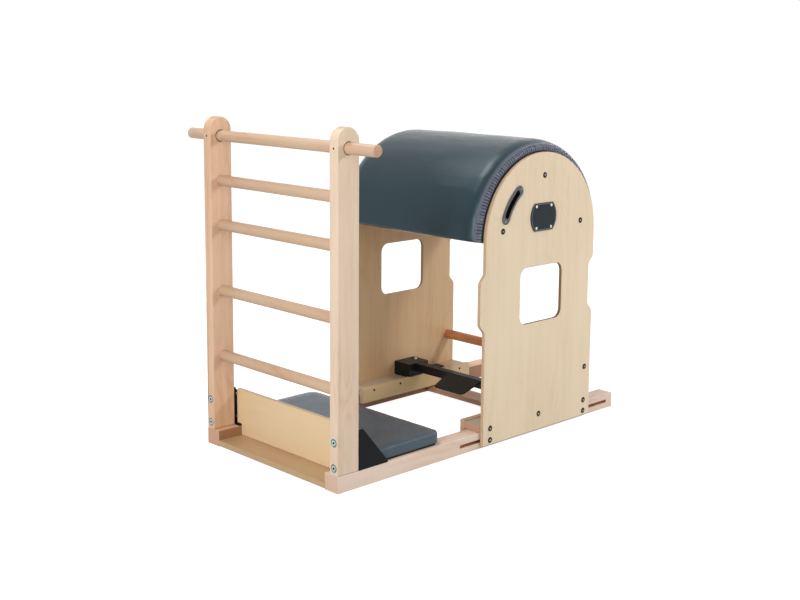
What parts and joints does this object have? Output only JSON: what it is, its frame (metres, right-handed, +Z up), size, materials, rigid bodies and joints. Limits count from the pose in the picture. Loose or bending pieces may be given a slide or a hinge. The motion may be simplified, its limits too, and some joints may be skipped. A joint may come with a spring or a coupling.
{
  "type": "pilates ladder barrel",
  "caption": "Wooden ladder joined by a low rail base to an upholstered half-round barrel that slides on the rails and is released by a foot pedal.",
  "frame": {"origin": "on the floor at the middle of the base's length and width", "axes": "+X runs along the rails from the ladder to the barrel, +Y to the side without the badge, +Z up"},
  "size_m": [1.306, 0.884, 1.06],
  "materials": {
    "beech": "smooth beech under clear satin lacquer",
    "plywood": "birch plywood, clear lacquer, bare edges",
    "ply_board": "plywood board, clear lacquer",
    "barrel_vinyl": "dark slate vinyl, fine leather grain",
    "pad_vinyl": "charcoal vinyl with a soft crown",
    "black_board": "board stained black",
    "black_steel": "matt black powder coat",
    "bright_steel": "zinc-bright machined steel",
    "bezel_plastic": "dark grey moulded plastic",
    "badge_plate": "near-black satin plate, bare",
    "dowel_wood": "warm brown hardwood, clear lacquer"
  },
  "bodies": {
    "base": {"front_cross_board": "beech", "rear_cross_board": "beech", "kick_board": "ply_board", "foot_pad_board": "black_board", "foot_pad_cushion": "pad_vinyl", "top_rung": "beech", "rung_2": "beech", "rung_3": "beech", "rung_4": "beech", "rung_5": "beech", "rail_near": "beech", "rail_far": "beech", "upright_near": "beech", "upright_far": "beech", "bracket_near": "black_steel", "bracket_far": "black_steel", "ladder_bolt_near_1": "bright_steel", "ladder_bolt_near_2": "bright_steel", "ladder_bolt_far_1": "bright_steel", "ladder_bolt_far_2": "bright_steel"},
    "barrel": {"drum_skin": "plywood", "barrel_cushion": "barrel_vinyl", "rear_dowel": "dowel_wood", "badge_plate": "badge_plate", "side_panel_near": "plywood", "side_panel_far": "plywood", "handle_bezel_near": "bezel_plastic", "handle_bezel_far": "bezel_plastic", "drum_former_near": "plywood", "drum_former_far": "plywood", "saddle_block_near": "beech", "saddle_block_far": "beech", "saddle_strip_near": "ply_board", "saddle_strip_far": "ply_board", "lock_housing_near": "black_steel", "lock_housing_far": "black_steel", "drum_bolt_near_1": "bright_steel", "drum_bolt_near_2": "bright_steel", "drum_bolt_near_3": "bright_steel", "drum_bolt_far_1": "bright_steel", "drum_bolt_far_2": "bright_steel", "drum_bolt_far_3": "bright_steel", "dowel_bolt_near_1": "bright_steel", "dowel_bolt_far_1": "bright_steel", "saddle_bolt_near_1": "bright_steel", "saddle_bolt_near_2": "bright_steel", "saddle_bolt_near_3": "bright_steel", "saddle_bolt_far_1": "bright_steel", "saddle_bolt_far_2": "bright_steel", "saddle_bolt_far_3": "bright_steel", "guide_bolt_near_1": "bright_steel", "guide_bolt_near_2": "bright_steel", "guide_bolt_far_1": "bright_steel", "guide_bolt_far_2": "bright_steel"},
    "pedal": {"pedal_bar": "black_steel", "bar_end_near": "black_steel", "bar_end_far": "black_steel"},
    "plunger_near": {"lock_plunger_near": "bright_steel"},
    "plunger_far": {"lock_plunger_far": "bright_steel"}
  },
  "joints": [
    {"name": "barrel_slide", "type": "slide", "parent": "base", "child": "barrel", "axis": [1, 0, 0], "range_m": [-0.12, 0.15]},
    {"name": "pedal_press", "type": "hinge", "parent": "barrel", "child": "pedal", "pos_m": [0.234, 0, 0.11], "axis": [0, -1, 0], "range_deg": [0, 15], "stiffness_Nm_per_rad": 12, "springref_deg": -11.46},
    {"name": "plunger_lift_near", "type": "slide", "parent": "barrel", "child": "plunger_near", "axis": [0, 0, 1], "range_m": [0, 0.0085]},
    {"name": "plunger_lift_far", "type": "slide", "parent": "barrel", "child": "plunger_far", "axis": [0, 0, 1], "range_m": [0, 0.0085]}
  ],
  "couplings": [
    {"joint": "plunger_lift_near", "follows": "pedal_press", "m_per_rad": 0.0308},
    {"joint": "plunger_lift_far", "follows": "pedal_press", "m_per_rad": 0.0308}
  ]
}
